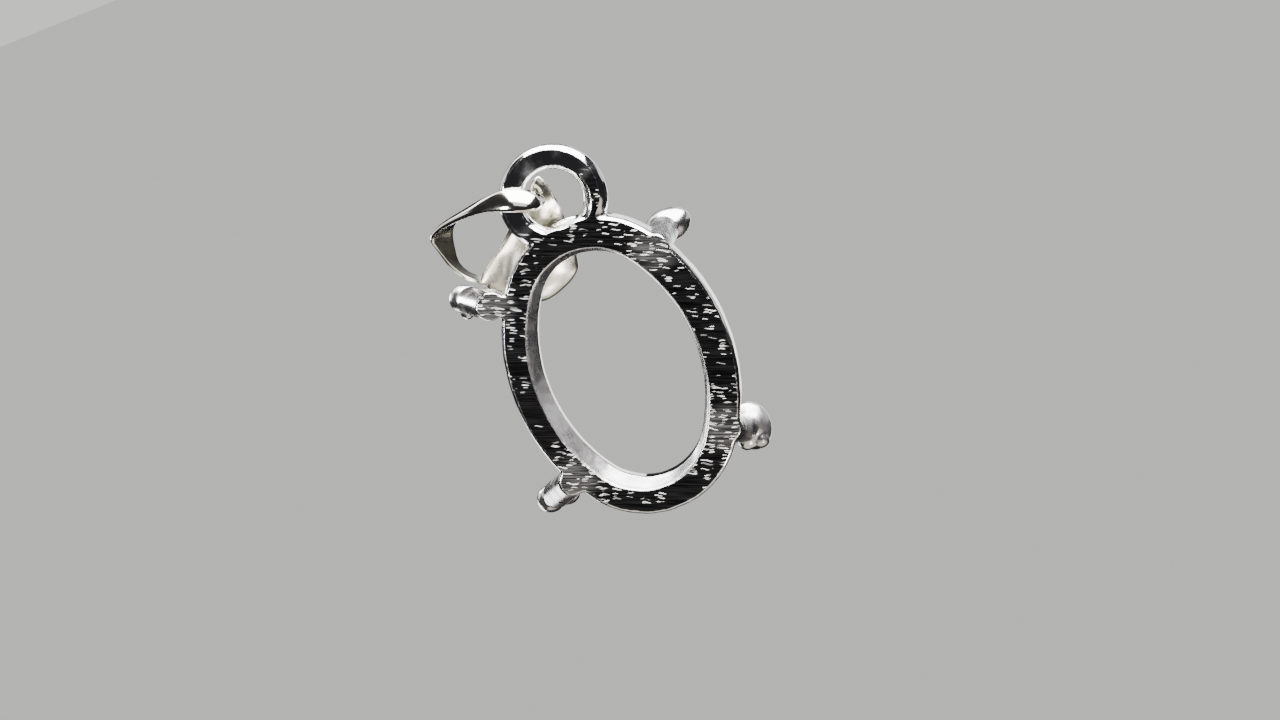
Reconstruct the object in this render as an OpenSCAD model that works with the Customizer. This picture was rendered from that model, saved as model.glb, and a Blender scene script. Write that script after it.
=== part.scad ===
// Open four-claw pendant setting for an 8 x 6 mm oval stone, with a folded leaf bail.
// +Z is up, along the oval's long axis towards the loop. The filed back lies in the
// plane Y = 0, and the claws rise towards -Y. The origin is the middle of the oval.

/* [Rail] */
// Half length of the oval, to the middle of the rail
rail_a = 3.78; // [3.6:0.01:4]
// Half width of the oval, to the middle of the rail
rail_b = 2.62; // [2.5:0.01:2.8]
// Radius of the oval's tight ends
rail_end_r = 2.1; // [1.9:0.05:2.3]
// Widest part of the rail's section
rail_w = 0.98; // [0.9:0.02:1.1]
// Depth of the rail, from the filed back to its front
rail_depth = 1.35; // [1.1:0.05:1.5]
// Height of the section's rounded shoulders above the filed back
rail_shoulder = 0.3; // [0.2:0.01:0.44]

/* [Claws] */
// Diameter of a claw's shaft
claw_d = 0.8; // [0.7:0.02:0.86]
// Diameter of the neck above the seat cut for the stone
neck_d = 0.56; // [0.5:0.02:0.6]
// Height of the seat above the filed back, as a share of the tip's height
seat_at = 0.76; // [0.7:0.02:0.8]
// Height of the tip's centre above the filed back
tip_h = 2.6; // [2.4:0.05:2.8]

/* [Loop] */
// Radius of the loop, to the middle of its wire
loop_r = 1.16; // [1.1:0.01:1.25]
// Diameter of the loop's wire
loop_wire = 0.68; // [0.5:0.02:0.7]
// Height of the wire's middle above the filed back
loop_h = 0.26; // [0.2:0.01:0.3]

/* [Bail] */
// Thickness of the bail's sheet
sheet_t = 0.18; // [0.14:0.01:0.2]
// Crown across the sheet, as a share of its half width
crown = 0.16; // [0:0.02:0.2]

/* [Hidden] */
$fn = 64;

rail_r = rail_w / 2;
end_step = rail_b - rail_end_r;
end_centre = rail_a - rail_end_r;
side_centre = (pow(end_centre, 2) - pow(end_step, 2)) / (2 * end_step);
side_r = rail_b + side_centre;
side_turn = atan(end_centre / side_centre);
loop_z = rail_a + loop_r;
claw_root = 0.3;
beyond = 10;

// Each claw leans its own way: the X and Z of its foot, then of its tip, and the
// diameter of its tip, which is worn or cast a little differently on each
FOOT = 0;
TIP = 1;
TIP_D = 2;
CLAWS = [
    [[2.68, 2.84], [3.70, 3.02], 0.80],
    [[-2.08, 2.68], [-2.44, 2.90], 1.04],
    [[-2.05, -2.64], [-2.44, -3.36], 1.26],
    [[2.40, -2.48], [3.56, -3.16], 0.80],
];

// The bail's strip, from its end in the loop, over the wire, round the fold, and as
// a wide leaf back under the wire: the middle of each section and half of its width
MIDDLE = 0;
HALF = 1;
STRIP = [
    [[0.30, -0.12, 5.02], [0.00, -0.12, 0.12]],
    [[0.46, 0.14, 5.14], [0.00, -0.14, 0.26]],
    [[0.80, 0.29, 5.28], [0.00, -0.14, 0.32]],
    [[1.24, 0.22, 5.42], [-0.02, -0.16, 0.28]],
    [[1.88, -0.15, 5.49], [-0.10, -0.20, 0.14]],
    [[2.60, -0.70, 5.38], [-0.20, -0.22, 0.04]],
    [[3.16, -1.16, 5.22], [-0.28, -0.22, 0.00]],
    [[3.42, -1.46, 4.98], [-0.30, -0.22, -0.02]],
    [[3.46, -1.66, 4.58], [-0.20, -0.22, -0.03]],
    [[3.44, -1.80, 4.12], [-0.10, -0.22, -0.04]],
    [[3.26, -1.94, 3.72], [-0.08, -0.22, -0.05]],
    [[2.94, -2.10, 3.38], [-0.14, -0.22, -0.08]],
    [[2.60, -2.24, 3.00], [-0.32, -0.22, -0.28]],
    [[2.27, -2.26, 2.70], [-0.66, -0.24, -0.54]],
    [[1.92, -2.24, 2.84], [-1.06, -0.32, -0.54]],
    [[1.60, -2.18, 3.10], [-1.22, -0.38, -0.50]],
    [[1.36, -2.05, 3.43], [-1.12, -0.40, -0.44]],
    [[1.10, -1.82, 3.80], [-1.00, -0.34, -0.30]],
    [[0.90, -1.48, 4.20], [-0.86, -0.14, -0.18]],
    [[0.70, -1.14, 4.58], [-0.70, 0.00, -0.12]],
    [[0.54, -0.92, 4.94], [-0.54, 0.04, -0.04]],
    [[0.42, -0.84, 5.28], [-0.38, 0.02, 0.04]],
    [[0.36, -0.82, 5.54], [-0.18, 0.00, 0.06]],
];
rings_between = 4;
ACROSS = [-1, -0.5, 0, 0.5, 1];

// Curve through the strip's sections, and its direction
function row(i, k) = STRIP[max(0, min(len(STRIP) - 1, i))][k];
function curve(i, t, k) =
    let (a = row(i - 1, k), b = row(i, k), c = row(i + 1, k), d = row(i + 2, k))
    (2 * b + (c - a) * t + (2 * a - 5 * b + 4 * c - d) * t * t
        + (3 * b - 3 * c + d - a) * t * t * t) / 2;
function unit(v) = v / norm(v);
function heading(i, t) = unit(curve(i, t + 0.05, MIDDLE) - curve(i, t - 0.05, MIDDLE));

// One section of the sheet: a crowned strip with pointed edges, out and back
function section(i, t) =
    let (
        middle = curve(i, t, MIDDLE),
        half = curve(i, t, HALF),
        out = unit(cross(half, heading(i, t))),
        rise = crown * norm(half)
    )
    concat(
        [for (w = ACROSS) middle + w * half
            + out * (rise * (1 - w * w) + (abs(w) < 1 ? sheet_t / 2 : 0))],
        [for (w = [0.5, 0, -0.5]) middle + w * half
            + out * (rise * (1 - w * w) - sheet_t / 2)]
    );

// Closed skin over a list of rings of equal length
module skin(rings) {
    n = len(rings[0]);
    last = len(rings) - 1;
    polyhedron(
        points = [for (ring = rings) for (p = ring) p],
        faces = concat(
            [[for (j = [0:n - 1]) j]],
            [for (i = [0:last - 1]) for (j = [0:n - 1])
                [i * n + j, (i + 1) * n + j, (i + 1) * n + (j + 1) % n, i * n + (j + 1) % n]],
            [[for (j = [n - 1:-1:0]) last * n + j]]
        )
    );
}

// D-shaped section of the rail, flat on the filed back
module rail_section() {
    intersection() {
        union() {
            translate([0, rail_shoulder]) circle(rail_r);
            translate([0, rail_depth - rail_r]) circle(rail_r);
            translate([-rail_r, rail_shoulder])
                square([rail_w, rail_depth - rail_r - rail_shoulder]);
        }
        translate([-rail_r, 0]) square([rail_w, rail_depth]);
    }
}

module rail_arc(centre, radius, from, turn)
    translate(centre) rotate([0, 0, from])
        rotate_extrude(angle = turn) translate([radius, 0]) rail_section();

module rail() {
    for (side = [0, 180]) rotate([0, 0, side]) {
        rail_arc([-side_centre, 0, 0], side_r, -side_turn, 2 * side_turn);
        rail_arc([0, end_centre, 0], rail_end_r, side_turn, 180 - 2 * side_turn);
    }
}

// A leaning claw: shaft, neck above the stone's seat, and rounded tip
module claw(foot, tip, tip_d) {
    lean = [tip.x - foot.x, tip.y - foot.y, tip_h];
    reach = norm(lean);
    translate([foot.x, foot.y, 0])
        rotate([0, acos(tip_h / reach), atan2(lean.y, lean.x)]) {
            translate([0, 0, -claw_root]) cylinder(d = claw_d, h = claw_root + reach * seat_at);
            cylinder(d = neck_d, h = reach);
            translate([0, 0, reach]) sphere(d = tip_d);
        }
}

module loop()
    translate([0, loop_z, loop_h])
        rotate_extrude() translate([loop_r, 0]) circle(d = loop_wire);

// Cast and soldered in one, then filed flat across the back
module setting() {
    color("silver") rotate([90, 0, 0]) difference() {
        union() {
            rail();
            loop();
            for (c = CLAWS) claw(c[FOOT], c[TIP], c[TIP_D]);
        }
        translate([-beyond, -beyond, -beyond]) cube([2 * beyond, 2 * beyond, beyond]);
    }
}

module bail() {
    color("gainsboro") skin([
        for (i = [0:len(STRIP) - 2]) for (k = [0:rings_between - 1])
            section(i, k / rings_between),
        section(len(STRIP) - 2, 1),
    ]);
}

setting();
bail();
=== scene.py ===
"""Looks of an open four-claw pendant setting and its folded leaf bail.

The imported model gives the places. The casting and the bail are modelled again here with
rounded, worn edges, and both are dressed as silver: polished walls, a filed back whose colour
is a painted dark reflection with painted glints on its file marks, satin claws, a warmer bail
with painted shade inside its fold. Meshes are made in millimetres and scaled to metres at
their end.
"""
import logging
import math
from dataclasses import dataclass, field
from enum import Enum

import bmesh
import bpy
from mathutils import Matrix, Vector


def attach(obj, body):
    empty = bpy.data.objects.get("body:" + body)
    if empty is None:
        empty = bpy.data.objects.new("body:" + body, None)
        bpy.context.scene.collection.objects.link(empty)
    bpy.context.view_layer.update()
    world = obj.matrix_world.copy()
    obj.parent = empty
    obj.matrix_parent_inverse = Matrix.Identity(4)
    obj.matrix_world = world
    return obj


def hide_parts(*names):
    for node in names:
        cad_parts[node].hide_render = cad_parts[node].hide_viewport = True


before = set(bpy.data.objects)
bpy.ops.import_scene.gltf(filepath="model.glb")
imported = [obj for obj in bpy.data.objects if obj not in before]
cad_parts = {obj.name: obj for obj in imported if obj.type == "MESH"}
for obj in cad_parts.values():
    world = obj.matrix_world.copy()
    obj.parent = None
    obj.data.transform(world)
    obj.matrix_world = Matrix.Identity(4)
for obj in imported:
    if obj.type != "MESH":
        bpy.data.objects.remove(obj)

LOG = logging.getLogger("pendant_setting")
MM = 0.001
Z_AXIS = Vector((0, 0, 1))
Colour = tuple[float, float, float, float]
Span = tuple[float, float]
Pair = tuple[float, float]
Triple = tuple[float, float, float]


# Shapes

class Part(Enum):
    """Which value of a station is meant."""

    MIDDLE = "middle"
    HALF = "half"


class Work(Enum):
    """How the back of a piece is worked."""

    POLISHED = "polished"
    FILED = "filed"


@dataclass(frozen=True)
class Station:
    """One section of the bail's strip: its middle and half of its width, in millimetres."""

    middle: Triple
    half: Triple


@dataclass
class Shell:
    """A closed mesh under construction, in millimetres."""

    bm: bmesh.types.BMesh = field(default_factory=bmesh.new)
    on_plane: float = 0.0001

    def wire(self, points: list[Vector], closed: bool) -> list[bmesh.types.BMEdge]:
        """Lays a chain of edges through a few points.

        Args:
            points: The corners of the chain.
            closed: Whether the last corner joins the first.

        Returns:
            The new edges, in order.
        """
        verts = [self.bm.verts.new(point) for point in points]
        pairs = list(zip(verts, verts[1:]))
        if closed:
            pairs.append((verts[-1], verts[0]))
        return [self.bm.edges.new(pair) for pair in pairs]

    def sweep(self, edges: list, centre: Vector, axis: Vector, angle: float, steps: int) -> list:
        """Spins edges about an axis.

        Args:
            edges: The edges that are swept.
            centre: A point on the axis.
            axis: The axis.
            angle: How far the sweep turns, in radians.
            steps: The number of steps.

        Returns:
            The edges of the last step.
        """
        verts = list({vert for edge in edges for vert in edge.verts})
        spun = bmesh.ops.spin(
            self.bm, geom=verts + list(edges), cent=centre, axis=axis,
            angle=angle, steps=steps, use_merge=False,
        )
        return [part for part in spun["geom_last"] if isinstance(part, bmesh.types.BMEdge)]

    def close(self, reach: float = 0.001) -> None:
        """Merges doubles and turns the faces outwards.

        Args:
            reach: Distance under which two corners become one.
        """
        bmesh.ops.remove_doubles(self.bm, verts=self.bm.verts[:], dist=reach)
        bmesh.ops.recalc_face_normals(self.bm, faces=self.bm.faces[:])

    def cut_flat(self, normal: Vector) -> None:
        """Files the shell flat through the origin.

        Args:
            normal: Points to the side that is filed away.
        """
        geom = self.bm.verts[:] + self.bm.edges[:] + self.bm.faces[:]
        cut = bmesh.ops.bisect_plane(
            self.bm, geom=geom, dist=self.on_plane, plane_co=Vector(), plane_no=normal,
            clear_outer=True,
        )
        rim = [part for part in cut["geom_cut"] if isinstance(part, bmesh.types.BMEdge)]
        bmesh.ops.holes_fill(self.bm, edges=rim)

    def move(self, matrix: Matrix) -> None:
        """Transforms every corner by a matrix."""
        bmesh.ops.transform(self.bm, matrix=matrix, verts=self.bm.verts[:])

    def add(self, other: "Shell") -> None:
        """Takes in another shell, which is freed.

        Args:
            other: The other shell.
        """
        other.close()
        scrap = bpy.data.meshes.new("scrap")
        other.bm.to_mesh(scrap)
        other.bm.free()
        self.bm.from_mesh(scrap)
        bpy.data.meshes.remove(scrap)

    def carve(self, tool: "Shell") -> None:
        """Cuts another closed shell out of this one and frees it.

        Args:
            tool: The other shell.
        """
        self.close()
        tool.close()
        body, cutter = self.link("body"), tool.link("cutter")
        cut = body.modifiers.new("cut", "BOOLEAN")
        cut.operation, cut.solver, cut.object = "DIFFERENCE", "EXACT", cutter
        bake_modifiers(body)
        self.bm = bmesh.new()
        self.bm.from_mesh(body.data)
        for piece in (body, cutter):
            mesh = piece.data
            bpy.data.objects.remove(piece)
            bpy.data.meshes.remove(mesh)

    def link(self, name: str) -> bpy.types.Object:
        """Links the shell as an object, still in millimetres.

        Args:
            name: The object's name.

        Returns:
            The object.
        """
        mesh = bpy.data.meshes.new(name)
        self.bm.to_mesh(mesh)
        self.bm.free()
        piece = bpy.data.objects.new(name, mesh)
        bpy.context.scene.collection.objects.link(piece)
        return piece


def bake_modifiers(piece: bpy.types.Object) -> None:
    """Applies the modifiers of a piece to its mesh.

    Args:
        piece: The piece.
    """
    graph = bpy.context.evaluated_depsgraph_get()
    mesh = bpy.data.meshes.new_from_object(piece.evaluated_get(graph))
    old = piece.data
    piece.modifiers.clear()
    piece.data = mesh
    bpy.data.meshes.remove(old)


def to_metres(piece: bpy.types.Object) -> None:
    """Scales a finished mesh from millimetres to metres and shades it smooth.

    Args:
        piece: The piece.
    """
    piece.data.transform(Matrix.Scale(MM, 4))
    for face in piece.data.polygons:
        face.use_smooth = True
    piece.data.update()


@dataclass(frozen=True)
class Oval:
    """The rail's middle line, an oval of four arcs in the local XY plane."""

    half_length: float = 3.78
    half_width: float = 2.62
    end_radius: float = 2.1

    @property
    def end_centre(self) -> float:
        """Distance from the middle to the centre of an end arc."""
        return self.half_length - self.end_radius

    @property
    def side_centre(self) -> float:
        """Distance from the middle to the centre of a side arc."""
        step = self.half_width - self.end_radius
        return (self.end_centre**2 - step**2) / (2 * step)

    @property
    def side_turn(self) -> float:
        """Half of the angle that a side arc turns through."""
        return math.atan(self.end_centre / self.side_centre)

    def arcs(self) -> list[tuple[Vector, float]]:
        """Lists the arcs in order.

        Returns:
            The centre and the turn of each arc, starting with the one on the +X side.
        """
        side, end = 2 * self.side_turn, math.pi - 2 * self.side_turn
        return [
            (Vector((-self.side_centre, 0, 0)), side),
            (Vector((0, self.end_centre, 0)), end),
            (Vector((self.side_centre, 0, 0)), side),
            (Vector((0, -self.end_centre, 0)), end),
        ]


@dataclass(frozen=True)
class Rail:
    """The oval band: a filed back, crisp shoulders, and a chamfer cut off-centre inside."""

    oval: Oval = Oval()
    half: float = 0.49
    depth: float = 1.35
    outer_shoulder: Pair = (0.09, 0.20)
    inner_shoulder: Pair = (0.04, 0.10)
    chamfer: Pair = (0.20, 0.36)
    chamfer_shift: Pair = (0.12, -0.04)
    chamfer_reach: float = 0.5
    arc_steps: int = 40
    curve_steps: int = 14
    shoulder_steps: int = 6

    def shoulder(self, wide: float, deep: float) -> list[Vector]:
        """Rounds one shoulder, as offsets from the middle line and depths below the back.

        Args:
            wide: How far the shoulder cuts into the filed back.
            deep: How far it reaches down the wall.

        Returns:
            Its points, from the back down to the wall.
        """
        steps = self.shoulder_steps
        turns = [math.pi / 2 * (1 - k / steps) for k in range(steps + 1)]
        return [
            Vector((self.half - wide * (1 - math.cos(turn)), deep * (1 - math.sin(turn))))
            for turn in turns
        ]

    def section(self) -> list[Vector]:
        """Draws the section: offset from the middle line and depth below the back.

        Returns:
            Its corners, from the back's outer edge round to its inner edge.
        """
        low = self.depth - self.half
        front = [
            Vector((self.half * math.cos(turn), low + self.half * math.sin(turn)))
            for turn in (math.pi * k / self.curve_steps for k in range(self.curve_steps + 1))
        ]
        inner = [Vector((-point.x, point.y)) for point in self.shoulder(*self.inner_shoulder)]
        return self.shoulder(*self.outer_shoulder) + front + inner[::-1]

    def swept(self, section: list[Vector]) -> Shell:
        """Sweeps a section round the oval.

        Args:
            section: The section's corners.

        Returns:
            The swept shell.
        """
        shell = Shell()
        centre, turn = self.oval.arcs()[0]
        radius = self.oval.half_width + self.oval.side_centre
        start = Matrix.Rotation(-turn / 2, 4, "Z")
        ring = [centre + start @ Vector((radius + point.x, 0, point.y)) for point in section]
        edges = shell.wire(ring, closed=True)
        for centre, turn in self.oval.arcs():
            edges = shell.sweep(edges, centre, Z_AXIS, turn, self.arc_steps)
        return shell

    def shell(self) -> Shell:
        """Sweeps the band and cuts the chamfer, which is wider at one side than the other.

        Returns:
            The band.
        """
        shell = self.swept(self.section())
        wide, deep = self.chamfer
        slope = wide / deep
        inside = -self.half
        tool = self.swept([
            Vector((inside + wide + slope * self.chamfer_reach, -self.chamfer_reach)),
            Vector((inside - slope * self.chamfer_reach, deep + self.chamfer_reach)),
            Vector((inside - self.chamfer_reach, deep + self.chamfer_reach)),
            Vector((inside - self.chamfer_reach, -self.chamfer_reach)),
        ])
        tool.move(Matrix.Translation((*self.chamfer_shift, 0)))
        shell.carve(tool)
        return shell

    def under(self, place: Vector) -> Vector:
        """Finds the point of the end's middle line that lies nearest to a place."""
        centre = Vector((0, math.copysign(self.oval.end_centre, place.y)))
        return centre + (place - centre).normalized() * self.oval.end_radius


@dataclass(frozen=True)
class Claw:
    """A leaning claw, by the place of its foot and its tip in the local XY plane."""

    foot: Pair
    tip: Pair
    tip_width: float
    height: float = 2.6
    width: float = 0.8
    neck: float = 0.56
    seat_at: float = 0.76
    root: float = 0.3
    steps: int = 40
    tip_steps: int = 16
    seat_slope: float = 0.05
    seat_lip: float = 0.03
    seat_fillet: float = 0.02

    def profile(self, reach: float) -> list[Vector]:
        """Draws the claw's outline for the lathe.

        Args:
            reach: Distance from the foot to the middle of the tip.

        Returns:
            Its points, each with a radius and a distance along the claw.
        """
        wide, thin, ball = self.width / 2, self.neck / 2, self.tip_width / 2
        seat = reach * self.seat_at
        start = math.asin(thin / ball)
        points = [
            (0, -self.root), (wide, -self.root), (wide, seat - self.seat_slope),
            (wide - self.seat_lip, seat), (thin + self.seat_fillet, seat + self.seat_slope),
        ]
        for k in range(self.tip_steps + 1):
            turn = start + (math.pi - start) * k / self.tip_steps
            points.append((ball * math.sin(turn), reach - ball * math.cos(turn)))
        return [Vector((radius, 0, along)) for radius, along in points]

    def shell(self) -> Shell:
        """Turns the claw on a lathe, leans it and files its foot flat.

        Returns:
            The claw.
        """
        lean = Vector((self.tip[0] - self.foot[0], self.tip[1] - self.foot[1], self.height))
        shell = Shell()
        edges = shell.wire(self.profile(lean.length), closed=False)
        shell.sweep(edges, Vector(), Z_AXIS, math.tau, self.steps)
        shell.close()
        leaning = lean.to_track_quat("Z", "Y").to_matrix().to_4x4()
        shell.move(Matrix.Translation((*self.foot, 0)) @ leaning)
        shell.cut_flat(-Z_AXIS)
        return shell


@dataclass(frozen=True)
class Lump:
    """A drop of melted metal on a claw: its middle and radii in millimetres."""

    middle: Triple
    radii: Triple

    def shell(self) -> Shell:
        """Stretches a ball to the drop's size.

        Returns:
            The drop.
        """
        shell = Shell()
        stretch = Matrix.Translation(self.middle) @ Matrix.Diagonal((*self.radii, 1.0))
        bmesh.ops.create_icosphere(shell.bm, subdivisions=4, radius=1.0, matrix=stretch)
        return shell


@dataclass(frozen=True)
class Web:
    """The fillet of metal that joins a claw's foot to the rail."""

    foot_radius: float = 0.37
    rail_radius: float = 0.14
    depth: float = 0.95
    steps: int = 24

    def shell(self, foot: Vector, rail: Vector) -> Shell:
        """Hulls two discs at the back and two below them.

        Args:
            foot: The claw's foot.
            rail: The point of the rail that it joins.

        Returns:
            The web.
        """
        shell = Shell()
        for place, radius in ((foot, self.foot_radius), (rail, self.rail_radius)):
            for depth in (0.0, self.depth):
                bmesh.ops.create_circle(
                    shell.bm, segments=self.steps, radius=radius,
                    matrix=Matrix.Translation((place.x, place.y, depth)),
                )
        bmesh.ops.convex_hull(shell.bm, input=shell.bm.verts[:])
        return shell


@dataclass(frozen=True)
class Loop:
    """The wire ring soldered on top of the rail."""

    radius: float = 1.16
    wire: float = 0.68
    height: float = 4.96
    depth: float = 0.29
    tilt: float = 0.045
    tilt_axis: Triple = (-1, 0.6, 0)
    steps: int = 72
    wire_steps: int = 28

    def shell(self) -> Shell:
        """Bends the wire round and files it flat with the back.

        Returns:
            The ring.
        """
        shell = Shell()
        section = bmesh.ops.create_circle(shell.bm, segments=self.wire_steps, radius=self.wire / 2)
        verts = section["verts"]
        stand = Matrix.Translation((self.radius, 0, 0)) @ Matrix.Rotation(math.pi / 2, 4, "X")
        bmesh.ops.transform(shell.bm, matrix=stand, verts=verts)
        edges = list({edge for vert in verts for edge in vert.link_edges})
        shell.sweep(edges, Vector(), Z_AXIS, math.tau, self.steps)
        shell.close()
        lean = Matrix.Rotation(self.tilt, 4, Vector(self.tilt_axis))
        shell.move(Matrix.Translation((0, self.height, self.depth)) @ lean)
        shell.cut_flat(-Z_AXIS)
        return shell


@dataclass
class Casting:
    """Rail, claws and loop as one soldered and cast piece."""

    rail: Rail = Rail()
    loop: Loop = Loop()
    claws: tuple[Claw, ...] = (
        Claw((2.68, 2.84), (3.70, 3.02), 0.80),
        Claw((-2.08, 2.68), (-2.44, 2.90), 0.84),
        Claw((-2.05, -2.64), (-2.44, -3.36), 0.96),
        Claw((2.40, -2.48), (3.56, -3.16), 0.80),
    )
    lumps: tuple[Lump, ...] = (
        Lump((-2.42, 2.86, 2.55), (0.67, 0.47, 0.54)),
        Lump((-2.48, -3.27, 2.55), (0.56, 0.70, 0.56)),
        Lump((-2.23, -3.56, 2.30), (0.28, 0.30, 0.28)),
        Lump((-2.60, -3.66, 2.30), (0.26, 0.28, 0.28)),
        Lump((2.94, -3.04, 1.85), (0.36, 0.34, 0.34)),
        Lump((3.56, -3.16, 2.60), (0.40, 0.38, 0.40)),
        Lump((3.66, 3.02, 2.55), (0.44, 0.38, 0.40)),
        Lump((3.68, 2.66, 2.20), (0.20, 0.20, 0.22)),
    )
    web: Web = Web()
    grain: float = 0.042
    softening: int = 9
    softness: float = 0.5
    swell: float = 0.03
    swell_size: float = 0.55
    rim_depth: float = 0.7
    rim_steps: int = 64
    snap: float = 0.02

    def build(self) -> bpy.types.Object:
        """Flows the shells into one casting with soft joins.

        Returns:
            The finished piece.
        """
        rail = self.rail.shell()
        rail.carve(self.rim())
        whole = Shell()
        lumps = [lump.shell() for lump in self.lumps]
        for shell in (rail, self.loop.shell(), *self.claw_shells(), *lumps):
            whole.add(shell)
        whole.move(Matrix.Rotation(math.pi / 2, 4, "X"))
        piece = whole.link("setting_cast")
        flow = piece.modifiers.new("flow", "REMESH")
        flow.mode = "VOXEL"
        flow.voxel_size = self.grain
        soften = piece.modifiers.new("soften", "SMOOTH")
        soften.factor = self.softness
        soften.iterations = self.softening
        swell = bpy.data.textures.new("cast_swell", "CLOUDS")
        swell.noise_scale = self.swell_size
        wave = piece.modifiers.new("wave", "DISPLACE")
        wave.texture = swell
        wave.texture_coords = "LOCAL"
        wave.strength = self.swell
        bake_modifiers(piece)
        for vert in piece.data.vertices:
            if abs(vert.co.y) < self.snap:
                vert.co.y = 0.0
        to_metres(piece)
        return piece

    def claw_shells(self) -> list[Shell]:
        """Makes each claw and its web.

        Returns:
            Two shells for each claw.
        """
        shells = []
        for claw in self.claws:
            foot = Vector(claw.foot)
            shells += [claw.shell(), self.web.shell(foot, self.rail.under(foot))]
        return shells

    def rim(self) -> Shell:
        """Makes the plug that clears the loop's hole at the rail's shoulder.

        Returns:
            The plug.
        """
        plug = Shell()
        radius = self.loop.radius - self.loop.wire / 2
        bmesh.ops.create_cone(
            plug.bm, cap_ends=True, segments=self.rim_steps, radius1=radius, radius2=radius,
            depth=2 * self.rim_depth, matrix=Matrix.Translation((0, self.loop.height, 0)),
        )
        return plug


@dataclass
class Bail:
    """The folded strip of sheet: a narrow strap, a fold and a wide leaf."""

    sheet: float = 0.18
    crown: float = 0.16
    between: int = 5
    around: int = 20
    look_ahead: float = 0.05
    merge: float = 0.0001
    ends: tuple[Pair, ...] = ((0.35, 0.07), (0.75, 0.045))
    squareness: Pair = (0.8, 0.6)
    stations: tuple[Station, ...] = (
        Station((0.30, -0.12, 5.02), (0.00, -0.12, 0.12)),
        Station((0.46, 0.14, 5.14), (0.00, -0.14, 0.26)),
        Station((0.80, 0.29, 5.28), (0.00, -0.14, 0.32)),
        Station((1.24, 0.22, 5.42), (-0.02, -0.16, 0.28)),
        Station((1.88, -0.15, 5.49), (-0.10, -0.20, 0.14)),
        Station((2.60, -0.70, 5.38), (-0.20, -0.22, 0.04)),
        Station((3.16, -1.16, 5.22), (-0.28, -0.22, 0.00)),
        Station((3.42, -1.46, 4.98), (-0.30, -0.22, -0.02)),
        Station((3.46, -1.66, 4.58), (-0.20, -0.22, -0.03)),
        Station((3.44, -1.80, 4.12), (-0.10, -0.22, -0.04)),
        Station((3.26, -1.94, 3.72), (-0.08, -0.22, -0.05)),
        Station((2.94, -2.10, 3.38), (-0.14, -0.22, -0.08)),
        Station((2.60, -2.24, 3.00), (-0.32, -0.22, -0.28)),
        Station((2.27, -2.26, 2.70), (-0.66, -0.24, -0.54)),
        Station((1.92, -2.24, 2.84), (-1.06, -0.32, -0.54)),
        Station((1.60, -2.18, 3.10), (-1.22, -0.38, -0.50)),
        Station((1.36, -2.05, 3.43), (-1.12, -0.40, -0.44)),
        Station((1.10, -1.82, 3.80), (-1.00, -0.34, -0.30)),
        Station((0.90, -1.48, 4.20), (-0.86, -0.14, -0.18)),
        Station((0.70, -1.14, 4.58), (-0.70, 0.00, -0.12)),
        Station((0.54, -0.92, 4.94), (-0.54, 0.04, -0.04)),
        Station((0.42, -0.84, 5.28), (-0.38, 0.02, 0.04)),
        Station((0.36, -0.82, 5.54), (-0.18, 0.00, 0.06)),
    )

    def point(self, place: float, part: Part) -> Vector:
        """Finds a point on the smooth curve through the stations.

        Args:
            place: Station number, with the share of the way to the next.
            part: The value that is wanted.

        Returns:
            The middle or the half width there.
        """
        last = len(self.stations) - 1
        at = max(0, min(last - 1, math.floor(place)))
        t = place - at
        near = (self.stations[max(0, min(last, at + k))] for k in (-1, 0, 1, 2))
        a, b, c, d = (Vector(getattr(stop, part.value)) for stop in near)
        bend = (2 * a - 5 * b + 4 * c - d) * t * t + (3 * b - 3 * c + d - a) * t**3
        return (2 * b + (c - a) * t + bend) / 2

    def ring(self, shell: Shell, place: float, share: float, ahead: float) -> list:
        """Lays one rounded section of the sheet.

        Args:
            shell: The shell that takes the section.
            place: Where on the strip it lies.
            share: Its size as a share of the full section.
            ahead: How far it moves on along the strip.

        Returns:
            The edges of the section.
        """
        middle, half = self.point(place, Part.MIDDLE), self.point(place, Part.HALF)
        before, after = (
            self.point(place + step, Part.MIDDLE) for step in (-self.look_ahead, self.look_ahead)
        )
        heading = (after - before).normalized()
        out = half.cross(heading).normalized()
        verts = bmesh.ops.create_circle(shell.bm, segments=self.around, radius=1.0)["verts"]
        for vert in verts:
            across, thick = (
                math.copysign(abs(part) ** power, part)
                for part, power in zip(vert.co.xy, self.squareness)
            )
            rise = self.crown * half.length * (1 - (across * share) ** 2)
            vert.co = (
                middle + heading * ahead + half * across * share
                + out * (rise + thick * share * self.sheet / 2)
            )
        return list({edge for vert in verts for edge in vert.link_edges})

    def build(self) -> bpy.types.Object:
        """Bridges the sections and rounds both ends.

        Returns:
            The finished piece.
        """
        shell = Shell()
        last = len(self.stations) - 1
        places = [k / self.between for k in range(last * self.between + 1)]
        marks = [(0.0, share, -ahead) for share, ahead in self.ends]
        marks += [(place, 1.0, 0.0) for place in places]
        marks += [(float(last), share, ahead) for share, ahead in reversed(self.ends)]
        rings = [self.ring(shell, *mark) for mark in marks]
        for near, far in zip(rings, rings[1:]):
            bmesh.ops.bridge_loops(shell.bm, edges=near + far)
        bmesh.ops.holes_fill(shell.bm, edges=rings[0])
        bmesh.ops.holes_fill(shell.bm, edges=rings[-1])
        shell.close(self.merge)
        piece = shell.link("bail_leaf")
        fine = piece.modifiers.new("fine", "SUBSURF")
        fine.levels = fine.render_levels = 1
        bake_modifiers(piece)
        to_metres(piece)
        return piece


# Finishes

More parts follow.
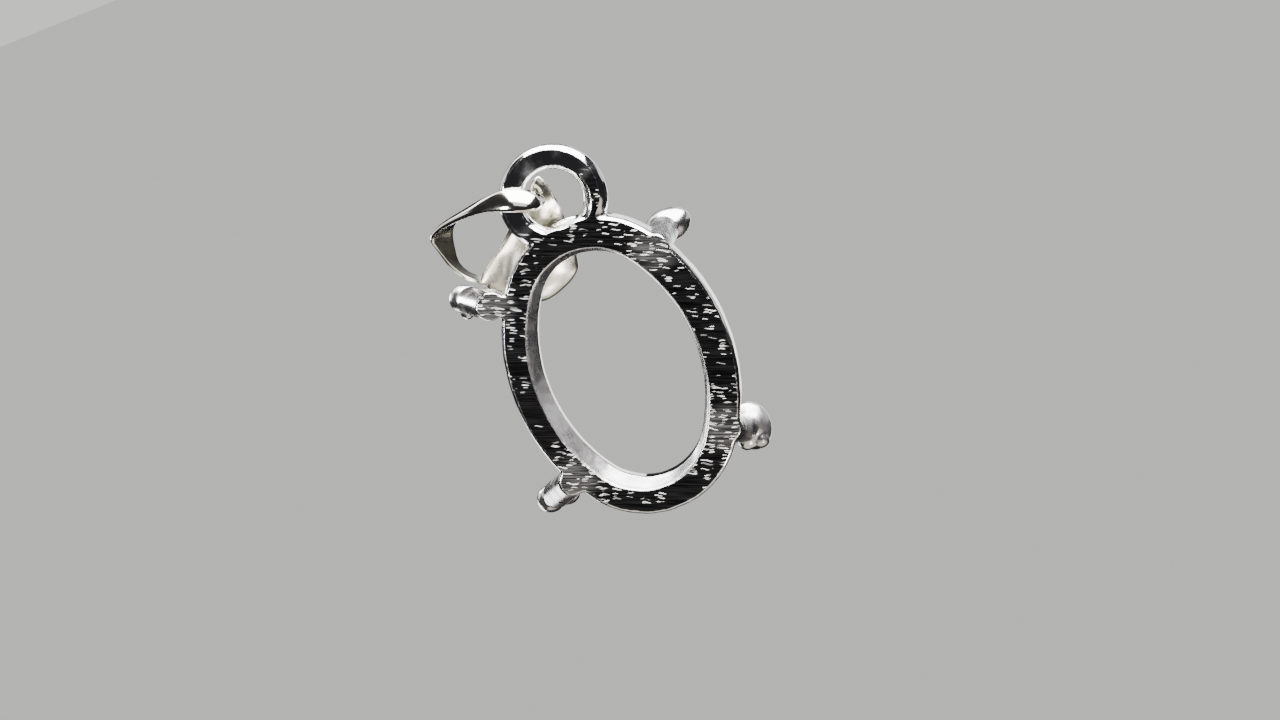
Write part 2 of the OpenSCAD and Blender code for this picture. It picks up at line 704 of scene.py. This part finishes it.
@dataclass
class Nodes:
    """A node tree under construction."""

    tree: bpy.types.NodeTree

    def add(self, kind: str, /, **values: object) -> bpy.types.Node:
        """Adds a node.

        Args:
            kind: The node's type.
            values: Values or sockets for its inputs, by name with underscores for spaces,
                and plain properties of the node in lower case.

        Returns:
            The node.
        """
        node = self.tree.nodes.new(kind)
        sockets = {key: value for key, value in values.items() if key[0].isupper()}
        for key, value in values.items():
            if key not in sockets:
                setattr(node, key, value)
        for key, value in sockets.items():
            self.feed(node.inputs[key.replace("_", " ")], value)
        return node

    def feed(self, socket: bpy.types.NodeSocket, value: object) -> None:
        """Links or sets an input socket.

        Args:
            socket: The input.
            value: A socket to link, or a plain value.
        """
        if isinstance(value, bpy.types.NodeSocket):
            self.tree.links.new(value, socket)
        else:
            socket.default_value = value

    def sum(self, operation: str, first: object, second: object) -> bpy.types.NodeSocket:
        """Adds a Math node on two values.

        Args:
            operation: The Math node's operation.
            first: The first value or socket.
            second: The second value or socket.

        Returns:
            Its result.
        """
        node = self.add("ShaderNodeMath", operation=operation)
        self.feed(node.inputs[0], first)
        self.feed(node.inputs[1], second)
        return node.outputs[0]

    def ramp(self, value: object, start: float, end: float) -> bpy.types.NodeSocket:
        """Maps a value smoothly to 0 at start and 1 at end.

        Args:
            value: The value or socket.
            start: Where the result is 0.
            end: Where it is 1.

        Returns:
            The mapped value.
        """
        node = self.add(
            "ShaderNodeMapRange", interpolation_type="SMOOTHSTEP",
            Value=value, From_Min=start, From_Max=end,
        )
        return node.outputs["Result"]

    def noise(self, vector: object, scale: float, detail: float) -> bpy.types.NodeSocket:
        """Adds a noise.

        Args:
            vector: The coordinates.
            scale: Its waves to the metre.
            detail: Its finer octaves.

        Returns:
            The noise, from 0 to 1.
        """
        node = self.add("ShaderNodeTexNoise", Vector=vector, Scale=scale, Detail=detail)
        return node.outputs["Fac"]

    def turned(self, vector: object, turn: float, scale: tuple[float, ...]) -> bpy.types.NodeSocket:
        """Turns a vector about Y and scales it.

        Args:
            vector: The vector.
            turn: The angle in radians.
            scale: The three factors.

        Returns:
            The new vector.
        """
        spun = self.add("ShaderNodeMapping", Vector=vector, Rotation=(0, turn, 0))
        sized = self.add("ShaderNodeMapping", Vector=spun.outputs["Vector"], Scale=scale)
        return sized.outputs["Vector"]

    def mix(self, share: object, first: object, second: object) -> bpy.types.NodeSocket:
        """Mixes two colours.

        Args:
            share: The second colour's share.
            first: The first colour.
            second: The second.

        Returns:
            The mixed colour.
        """
        node = self.add("ShaderNodeMix", data_type="RGBA")
        self.feed(node.inputs[0], share)
        self.feed(node.inputs[6], first)
        self.feed(node.inputs[7], second)
        return node.outputs[2]

    def blend(self, share: object, first: object, second: object) -> bpy.types.NodeSocket:
        """Mixes two values.

        Args:
            share: The second value's share.
            first: The first value.
            second: The second.

        Returns:
            The mixed value.
        """
        node = self.add("ShaderNodeMix", data_type="FLOAT")
        self.feed(node.inputs[0], share)
        self.feed(node.inputs[2], first)
        self.feed(node.inputs[3], second)
        return node.outputs[0]


@dataclass(frozen=True)
class FileMarksAndGlints:
    """Short dashes of a file, all in one direction, thickest by the claws' feet, painted bright as
    glints.

    A Span is a range. Scales are in cells or waves to the metre.
    """

    along: float = 2400.0
    across: float = 17000.0
    heading: float = 0.384
    patch: float = 900.0
    patch_edge: Span = (0.40, 0.66)
    patch_weight: float = 0.7
    share: Span = (0.10, 0.66)
    chosen: Span = (0.98, 1.02)
    size: Span = (0.18, 0.40)
    core: float = 0.55
    glint: Span = (0.3, 1.0)
    groove: Triple = (900.0, 900.0, 24000.0)
    shake: float = 3500.0
    shake_across: float = 2.2

    def group(self) -> bpy.types.NodeTree:
        """Builds the node group.

        Returns:
            A group with the vector and the nearness to a foot as inputs, and the dashes, painted as
            glints, and the grooves as outputs.
        """
        tree = bpy.data.node_groups.new("file_marks_and_glints", "ShaderNodeTree")
        face = tree.interface
        face.new_socket("Vector", in_out="INPUT", socket_type="NodeSocketVector")
        face.new_socket("Nearness", in_out="INPUT", socket_type="NodeSocketFloat")
        for name in ("Glints", "Grooves"):
            face.new_socket(name, in_out="OUTPUT", socket_type="NodeSocketFloat")
        nodes = Nodes(tree)
        source = nodes.add("NodeGroupInput")
        vector, near = source.outputs["Vector"], source.outputs["Nearness"]
        cells = nodes.add(
            "ShaderNodeTexVoronoi", voronoi_dimensions="2D", feature="F1",
            Vector=self.strokes(nodes, vector), Scale=1.0, Randomness=1.0,
        )
        chance = nodes.add("ShaderNodeSeparateColor", Color=cells.outputs["Color"])
        patches = nodes.ramp(nodes.noise(vector, self.patch, 2.0), *self.patch_edge)
        want = nodes.sum("ADD", nodes.sum("MULTIPLY", patches, self.patch_weight), near)
        share = nodes.blend(nodes.sum("MINIMUM", want, 1.0), *self.share)
        there = nodes.ramp(nodes.sum("ADD", chance.outputs["Red"], share), *self.chosen)
        size = nodes.blend(chance.outputs["Blue"], *self.size)
        core = nodes.sum("MULTIPLY", size, self.core)
        mark = nodes.ramp(cells.outputs["Distance"], size, core)
        # Painted glints: each dash gets its own brightness, picked at random for its cell.
        glint = nodes.blend(chance.outputs["Green"], *self.glint)
        glint_dashes = nodes.sum("MULTIPLY", nodes.sum("MULTIPLY", mark, there), glint)
        grooves = nodes.turned(vector, self.heading, self.groove)
        sink = nodes.add("NodeGroupOutput")
        nodes.feed(sink.inputs["Glints"], glint_dashes)
        nodes.feed(sink.inputs["Grooves"], nodes.noise(grooves, 1.0, 3.0))
        return tree

    def strokes(self, nodes: Nodes, vector: bpy.types.NodeSocket) -> bpy.types.NodeSocket:
        """Lays the back's plane out so that a dash is about one unit long and one wide.

        Args:
            nodes: The group's nodes.
            vector: Object coordinates.

        Returns:
            The plane's coordinates, a little shaken.
        """
        turned = nodes.turned(vector, self.heading, (self.along, 1.0, self.across))
        parts = nodes.add("ShaderNodeSeparateXYZ", Vector=turned)
        shake = nodes.noise(vector, self.shake, 1.0)
        aslant = nodes.sum("MULTIPLY", shake, self.shake_across)
        plane = nodes.add(
            "ShaderNodeCombineXYZ",
            X=nodes.sum("ADD", parts.outputs["X"], shake),
            Y=nodes.sum("ADD", parts.outputs["Z"], aslant),
        )
        return plane.outputs["Vector"]


@dataclass(frozen=True)
class HandlingMarks:
    """Soft waves of casting and polishing, with fine scratches and dull spots.

    A Span is a range. Scales are in waves to the metre, depths in shares of the bump's full
    depth.
    """

    wave: float = 900.0
    skin: float = 5200.0
    skin_depth: float = 0.08
    scratch: Triple = (1500.0, 1500.0, 26000.0)
    scratch_turn: float = 0.9
    scratch_edge: Span = (0.66, 0.72)
    scratch_depth: float = 0.05
    spots: float = 1500.0
    spot_edge: Span = (0.45, 0.7)

    def group(self) -> bpy.types.NodeTree:
        """Builds the node group.

        Returns:
            A group with the vector and the waves' depth as inputs, and a height and a dulling
            mask as outputs.
        """
        tree = bpy.data.node_groups.new("handling_marks", "ShaderNodeTree")
        face = tree.interface
        face.new_socket("Vector", in_out="INPUT", socket_type="NodeSocketVector")
        face.new_socket("Waves", in_out="INPUT", socket_type="NodeSocketFloat")
        for name in ("Height", "Dull"):
            face.new_socket(name, in_out="OUTPUT", socket_type="NodeSocketFloat")
        nodes = Nodes(tree)
        source = nodes.add("NodeGroupInput")
        vector = source.outputs["Vector"]
        wave = nodes.sum("MULTIPLY", nodes.noise(vector, self.wave, 2.0), source.outputs["Waves"])
        skin = nodes.sum("MULTIPLY", nodes.noise(vector, self.skin, 3.0), self.skin_depth)
        lines = nodes.turned(vector, self.scratch_turn, self.scratch)
        scratches = nodes.ramp(nodes.noise(lines, 1.0, 2.0), *self.scratch_edge)
        sunk = nodes.sum("MULTIPLY", scratches, self.scratch_depth)
        height = nodes.sum("SUBTRACT", nodes.sum("ADD", wave, skin), sunk)
        dull = nodes.ramp(nodes.noise(vector, self.spots, 5.0), *self.spot_edge)
        sink = nodes.add("NodeGroupOutput")
        nodes.feed(sink.inputs["Height"], height)
        nodes.feed(sink.inputs["Dull"], dull)
        return tree


@dataclass(frozen=True)
class Tone:
    """Colour and roughness of one kind of surface, where it is clean and where it is dulled."""

    bright: Colour
    dull: Colour
    smooth: float
    rough: float


@dataclass
class Layers:
    """A material's colour, roughness and height, laid over one another by masks."""

    nodes: Nodes
    dull: bpy.types.NodeSocket
    colour: bpy.types.NodeSocket
    rough: bpy.types.NodeSocket
    height: bpy.types.NodeSocket

    def lay(self, mask: bpy.types.NodeSocket, tone: Tone) -> None:
        """Lays a tone over the rest where a mask is 1."""
        rough = self.nodes.blend(self.dull, tone.smooth, tone.rough)
        colour = self.nodes.mix(self.dull, tone.bright, tone.dull)
        self.rough = self.nodes.blend(mask, self.rough, rough)
        self.colour = self.nodes.mix(mask, self.colour, colour)

    def emboss(self, mask: bpy.types.NodeSocket, height: bpy.types.NodeSocket) -> None:
        """Takes another height where a mask is 1."""
        self.height = self.nodes.blend(mask, self.height, height)


@dataclass(frozen=True)
class Zones:
    """Masks of the places that are finished in their own way, or painted with shade or a dark
    reflection.

    A Span gives where a mask is 0 and where it is 1. Places are in metres, distances from a
    spot in millimetres, and directions are parts of a face's normal. The loop is filed on
    the side that filed_side points to, in X and Z, and at the height filed_from on X = 0.
    """

    nodes: Nodes
    place: bpy.types.Node
    back_facing: Span = (0.9, 0.97)
    back_place: Span = (-0.00008, -0.00002)
    filed_side: Pair = (-0.40, -0.92)
    filed_from: float = 0.00496
    filed_edge: Span = (-0.0002, 0.0003)
    chamfer_inwards: Span = (-0.0004, -0.0012)
    chamfer_reach: Span = (3.9, 3.6)
    chamfer_facing: Span = (0.15, 0.35)
    fold_facing: Span = (-0.15, -0.45)
    fold_place: Span = (0.0026, 0.0031)
    leaf_below: Span = (0.0046, 0.0042)
    leaf_end: Span = (0.0016, 0.0012)
    leaf_front: Span = (-0.0005, -0.0008)

    def split(self, source: str) -> bpy.types.NodeOutputs:
        """Splits the place ("Object") or the direction ("Normal") into X, Y and Z."""
        return self.nodes.add("ShaderNodeSeparateXYZ", Vector=self.place.outputs[source]).outputs

    def both(self, first: object, second: object) -> bpy.types.NodeSocket:
        """Masks what lies in two masks at once."""
        return self.nodes.sum("MULTIPLY", first, second)

    def nearness(self, spots: list[Vector], reach: Span) -> bpy.types.NodeSocket:
        """Measures how near a point lies to any of a few spots.

        Args:
            spots: The spots, in millimetres.
            reach: Distances in millimetres at which the result is 0 and 1.

        Returns:
            1 on a spot, falling to 0 away from it.
        """
        nearest: object = 1.0
        for spot in spots:
            gap = self.nodes.add("ShaderNodeVectorMath", operation="DISTANCE")
            self.nodes.feed(gap.inputs[0], self.place.outputs["Object"])
            self.nodes.feed(gap.inputs[1], spot * MM)
            nearest = self.nodes.sum("MINIMUM", nearest, gap.outputs["Value"])
        far, near = reach
        return self.nodes.ramp(nearest, far * MM, near * MM)

    def flat_back(self) -> bpy.types.NodeSocket:
        """Masks the filed back, without the upper left of the loop, which is only polished.

        Returns:
            1 where a file has been.
        """
        spot, facing = self.split("Object"), self.split("Normal")
        flat = self.both(
            self.nodes.ramp(facing["Y"], *self.back_facing),
            self.nodes.ramp(spot["Y"], *self.back_place),
        )
        sideways, upwards = self.filed_side
        drift = self.nodes.sum("MULTIPLY", spot["X"], sideways)
        above = self.nodes.sum("SUBTRACT", spot["Z"], self.filed_from)
        line = self.nodes.sum("ADD", drift, self.nodes.sum("MULTIPLY", above, upwards))
        return self.both(flat, self.nodes.ramp(line, *self.filed_edge))

    def chamfer(self) -> bpy.types.NodeSocket:
        """Masks the chamfer inside the rail, which is matt from the file.

        Returns:
            1 on the chamfer.
        """
        outwards = self.nodes.add("ShaderNodeVectorMath", operation="DOT_PRODUCT")
        self.nodes.feed(outwards.inputs[0], self.place.outputs["Object"])
        self.nodes.feed(outwards.inputs[1], self.place.outputs["Normal"])
        inwards = self.nodes.ramp(outwards.outputs["Value"], *self.chamfer_inwards)
        middle = self.nearness([Vector()], self.chamfer_reach)
        slope = self.nodes.ramp(self.split("Normal")["Y"], *self.chamfer_facing)
        return self.both(self.both(middle, slope), inwards)

    def leaf(self) -> bpy.types.NodeSocket:
        """Masks the bail's leaf, below the loop and up to its end in the loop's hole.

        Returns:
            1 on the leaf.
        """
        spot = self.split("Object")
        end = self.both(
            self.nodes.ramp(spot["X"], *self.leaf_end),
            self.nodes.ramp(spot["Y"], *self.leaf_front),
        )
        return self.nodes.sum("MAXIMUM", self.nodes.ramp(spot["Z"], *self.leaf_below), end)

    def fold_shade(self) -> bpy.types.NodeSocket:
        """Masks the inside of the bail's fold, which is painted near-black as shade.

        Returns:
            1 inside the fold.
        """
        return self.both(
            self.nodes.ramp(self.split("Normal")["X"], *self.fold_facing),
            self.nodes.ramp(self.split("Object")["X"], *self.fold_place),
        )


@dataclass(frozen=True)
class Silver:
    """A silver finish: its own tone, how deep its waves are, and how it is worked."""

    name: str
    tone: Tone
    waves: float
    work: Work
    claws: tuple[Claw, ...] = ()
    cast: Tone = Tone((0.74, 0.72, 0.72, 1), (0.52, 0.50, 0.50, 1), 0.22, 0.40)
    cast_reach: Span = (1.5, 1.1)
    chamfer: Tone = Tone((0.62, 0.60, 0.60, 1), (0.42, 0.40, 0.40, 1), 0.26, 0.36)
    # Painted dark reflection: the filed back's colour is near-black, standing for the dark
    # surroundings it mirrors; the groove streaks mix the two colours.
    ground: tuple[Colour, Colour] = ((0.010, 0.010, 0.011, 1), (0.055, 0.053, 0.057, 1))
    # The same painted dark reflection, lightened to a rough grey near the claws' feet.
    foot: tuple[Colour, Colour] = ((0.05, 0.048, 0.05, 1), (0.50, 0.49, 0.47, 1))
    foot_reach: Span = (0.8, 0.3)
    # Painted glint: the colour of the file's dashes.
    glint_colour: Colour = (0.95, 0.94, 0.92, 1)
    dash_reach: Span = (1.7, 0.6)
    dash_rough: Span = (0.32, 0.62)
    streak_edge: Span = (0.35, 0.7)
    leaf: Tone = Tone((0.93, 0.90, 0.77, 1), (0.66, 0.63, 0.50, 1), 0.24, 0.32)
    # Painted shade: the inside of the fold is near-black.
    fold: Tone = Tone((0.045, 0.042, 0.037, 1), (0.045, 0.042, 0.037, 1), 0.42, 0.42)
    pits: float = 4200.0
    pit_depth: float = 0.8
    chamfer_pits: float = 0.3
    groove_depth: float = 0.5
    dullness: float = 0.6
    relief: float = 0.000005

    def dress_casting(self, layers: Layers, zones: Zones, marks: bpy.types.NodeTree) -> None:
        """Dresses the casting: satin claws, a matt chamfer and a filed back whose colour is a
        painted dark reflection, with painted glints on its file marks.

        Args:
            layers: The material so far.
            zones: The masks.
            marks: The group of file marks and their painted glints.
        """
        nodes = layers.nodes
        vector = zones.place.outputs["Object"]
        tips = [Vector((claw.tip[0], -claw.height, claw.tip[1])) for claw in self.claws]
        feet = [Vector((claw.foot[0], 0, claw.foot[1])) for claw in self.claws]
        shafts = [(tip + foot) / 2 for tip, foot in zip(tips, feet)]
        cast = zones.nearness(tips + shafts, self.cast_reach)
        pitted = nodes.sum("MULTIPLY", nodes.noise(vector, self.pits, 3.0), self.pit_depth)
        layers.lay(cast, self.cast)
        layers.emboss(cast, pitted)
        chamfer = zones.chamfer()
        layers.lay(chamfer, self.chamfer)
        layers.emboss(chamfer, nodes.sum("MULTIPLY", pitted, self.chamfer_pits))
        file = nodes.add("ShaderNodeGroup", node_tree=marks)
        nodes.feed(file.inputs["Vector"], vector)
        nodes.feed(file.inputs["Nearness"], zones.nearness(feet, self.dash_reach))
        glint_dashes, grooves = file.outputs["Glints"], file.outputs["Grooves"]
        streak = nodes.ramp(grooves, *self.streak_edge)
        # The filed back's colour is a painted dark reflection, lighter near the claws' feet, with
        # the dashes painted over it as bright glints.
        ground, foot = nodes.mix(streak, *self.ground), nodes.mix(streak, *self.foot)
        ground = nodes.mix(zones.nearness(feet, self.foot_reach), ground, foot)
        flat = zones.flat_back()
        layers.colour = nodes.mix(flat, layers.colour, nodes.mix(glint_dashes, ground, self.glint_colour))
        layers.rough = nodes.blend(flat, layers.rough, nodes.blend(glint_dashes, *self.dash_rough))
        cut = nodes.sum("ADD", nodes.sum("MULTIPLY", grooves, self.groove_depth), glint_dashes)
        layers.emboss(flat, cut)

    def material(
        self, handling: bpy.types.NodeTree, marks: bpy.types.NodeTree,
    ) -> bpy.types.Material:
        """Makes the material.

        Args:
            handling: The group of handling marks.
            marks: The group of file marks and their painted glints.

        Returns:
            The material.
        """
        material = bpy.data.materials.new(self.name)
        material.use_nodes = True
        nodes = Nodes(material.node_tree)
        shader = material.node_tree.nodes["Principled BSDF"]
        shader.inputs["Metallic"].default_value = 1.0
        place = nodes.add("ShaderNodeTexCoord")
        worn = nodes.add("ShaderNodeGroup", node_tree=handling, Waves=self.waves)
        nodes.feed(worn.inputs["Vector"], place.outputs["Object"])
        dull, tone = worn.outputs["Dull"], self.tone
        layers = Layers(
            nodes, dull,
            nodes.mix(nodes.sum("MULTIPLY", dull, self.dullness), tone.bright, tone.dull),
            nodes.blend(dull, tone.smooth, tone.rough), worn.outputs["Height"],
        )
        zones = Zones(nodes, place)
        if self.work is Work.FILED:
            self.dress_casting(layers, zones, marks)
        else:
            layers.lay(zones.leaf(), self.leaf)
            # Painted shade inside the bail's fold.
            layers.lay(zones.fold_shade(), self.fold)
        bump = nodes.add("ShaderNodeBump", Strength=1.0, Distance=self.relief, Height=layers.height)
        nodes.feed(shader.inputs["Base Color"], layers.colour)
        nodes.feed(shader.inputs["Roughness"], layers.rough)
        nodes.feed(shader.inputs["Normal"], bump.outputs["Normal"])
        return material


# Studio

@dataclass(frozen=True)
class View:
    """The camera at the photograph's angle, looking at the filed back."""

    across: Vector = Vector((-0.926, -0.051, -0.374))
    back: Vector = Vector((-0.112, 0.983, 0.142))
    distance: float = 0.12
    image_width: float = 1280.0
    focal_pixels: float = 4380.0
    aside: float = 0.000526
    above: float = 0.000178
    sensor: float = 36.0
    seen: Span = (0.001, 10.0)

    def axes(self) -> Matrix:
        """Returns the view's right, up and back directions as a matrix."""
        away = self.back.normalized()
        right = (self.across - self.across.dot(away) * away).normalized()
        return Matrix((right, away.cross(right), away)).transposed()

    def place(self) -> None:
        """Creates the camera and makes it the scene's own."""
        lens = bpy.data.cameras.new("photo_view")
        lens.sensor_width = self.sensor
        lens.sensor_fit = "HORIZONTAL"
        lens.lens = self.sensor * self.focal_pixels / self.image_width
        lens.clip_start, lens.clip_end = self.seen
        camera = bpy.data.objects.new("photo_view", lens)
        axes = self.axes()
        matrix = axes.to_4x4()
        matrix.translation = axes @ Vector((self.aside, self.above, self.distance))
        camera.matrix_world = matrix
        bpy.context.scene.collection.objects.link(camera)
        bpy.context.scene.camera = camera


@dataclass(frozen=True)
class Softbox:
    """One soft studio light, placed as the view sees it: right, up and back shares."""

    name: str
    towards: Triple
    distance: float
    width: float
    height: float
    power: float
    tint: Triple = (1.0, 1.0, 1.0)

    def hang(self, axes: Matrix) -> None:
        """Hangs the light, turned towards the setting, for the metal alone.

        Args:
            axes: The view's right, up and back directions.
        """
        light = bpy.data.lights.new(self.name, "AREA")
        light.shape = "RECTANGLE"
        light.size, light.size_y = self.width, self.height
        light.energy = self.power
        light.color = self.tint
        lamp = bpy.data.objects.new(self.name, light)
        out = (axes @ Vector(self.towards)).normalized()
        right = axes.col[0]
        side = (right - right.dot(out) * out).normalized()
        matrix = Matrix((side, out.cross(side), out)).transposed().to_4x4()
        matrix.translation = out * self.distance
        lamp.matrix_world = matrix
        lamp.visible_camera = False
        lamp.visible_diffuse = False
        bpy.context.scene.collection.objects.link(lamp)


@dataclass
class Studio:
    """Floor, air and lights."""

    axes: Matrix
    drop: float = 0.03
    reach: float = 2.0
    pale: Colour = (0.76, 0.76, 0.75, 1.0)
    unlit: Colour = (0.02, 0.02, 0.022, 1.0)
    matt: float = 0.9
    glow: float = 1.1
    lights: tuple[Softbox, ...] = (
        Softbox("overhead", (0.0, 0.92, 0.25), 0.16, 0.26, 0.38, 5.0),
        Softbox("far_right", (0.85, 0.15, -0.50), 0.20, 0.16, 0.18, 0.09),
        Softbox("far_left", (-0.80, 0.27, -0.54), 0.20, 0.16, 0.12, 0.07),
        Softbox("low_left", (-0.46, -0.50, -0.73), 0.0185, 0.008, 0.008, 0.001),
        Softbox("rim", (-0.42, 0.72, -0.55), 0.20, 0.10, 0.10, 0.12),
        Softbox("wall", (0.24, 0.06, -0.97), 0.08, 0.036, 0.070, 0.020),
        Softbox("fill", (0.0, 0.30, 0.95), 0.16, 0.12, 0.06, 0.03),
        Softbox("front", (-0.70, -0.20, 0.68), 0.14, 0.03, 0.03, 0.24),
        Softbox("card", (0.38, -0.90, 0.21), 0.026, 0.050, 0.050, 0.008, (1.0, 0.94, 0.82)),
        Softbox("spot", (0.71, -0.61, 0.36), 0.0216, 0.003, 0.003, 0.0009, (1.0, 0.97, 0.90)),
        Softbox("glint", (-0.69, 0.18, -0.70), 0.018, 0.003, 0.003, 0.0007),
    )

    def floor(self) -> None:
        """Lays the pale, matt floor, which the silver mirrors dark, like a black card."""
        bm = bmesh.new()
        bmesh.ops.create_grid(bm, x_segments=1, y_segments=1, size=self.reach)
        bmesh.ops.translate(bm, vec=Vector((0, 0, -self.drop)), verts=bm.verts[:])
        mesh = bpy.data.meshes.new("floor")
        bm.to_mesh(mesh)
        bm.free()
        ground = bpy.data.objects.new("floor", mesh)
        bpy.context.scene.collection.objects.link(ground)
        paint = bpy.data.materials.new("pale_floor")
        paint.use_nodes = True
        nodes = Nodes(paint.node_tree)
        shader = paint.node_tree.nodes["Principled BSDF"]
        shader.inputs["Roughness"].default_value = self.matt
        shader.inputs["Specular IOR Level"].default_value = 0.0
        ray = nodes.add("ShaderNodeLightPath")
        colour = nodes.mix(ray.outputs["Is Glossy Ray"], self.pale, self.unlit)
        nodes.feed(shader.inputs["Base Color"], colour)
        mesh.materials.append(paint)

    def air(self) -> None:
        """Fills the studio with pale, even light that the silver doesn't mirror."""
        world = bpy.data.worlds.new("studio_air")
        world.use_nodes = True
        nodes = Nodes(world.node_tree)
        ray = nodes.add("ShaderNodeLightPath")
        ground = world.node_tree.nodes["Background"]
        colour = nodes.mix(ray.outputs["Is Glossy Ray"], self.pale, self.unlit)
        nodes.feed(ground.inputs["Color"], colour)
        ground.inputs["Strength"].default_value = self.glow
        bpy.context.scene.world = world

    def set_up(self) -> None:
        """Sets up the floor, the air and the lights."""
        self.floor()
        self.air()
        for light in self.lights:
            light.hang(self.axes)


def main() -> None:
    """Builds, dresses and reports each piece."""
    logging.basicConfig(level=logging.INFO, format="%(name)s: %(message)s")
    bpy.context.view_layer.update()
    view = View()
    view.place()
    Studio(view.axes()).set_up()
    handling, marks = HandlingMarks().group(), FileMarksAndGlints().group()
    casting = Casting()
    pieces = (
        ("setting", casting.build, Silver(
            "setting_silver", Tone((0.88, 0.88, 0.89, 1), (0.70, 0.70, 0.71, 1), 0.10, 0.26),
            0.5, Work.FILED, casting.claws,
        )),
        ("bail", Bail().build, Silver(
            "bail_silver", Tone((0.93, 0.89, 0.80, 1), (0.84, 0.79, 0.68, 1), 0.09, 0.15),
            0.08, Work.POLISHED,
        )),
    )
    for node, build, finish in pieces:
        piece = build()
        piece.data.materials.clear()
        piece.data.materials.append(finish.material(handling, marks))
        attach(piece, node)
        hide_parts(node)
        LOG.info("%s: %d faces", piece.name, len(piece.data.polygons))
    bpy.context.view_layer.update()


if __name__ == "__main__":
    main()
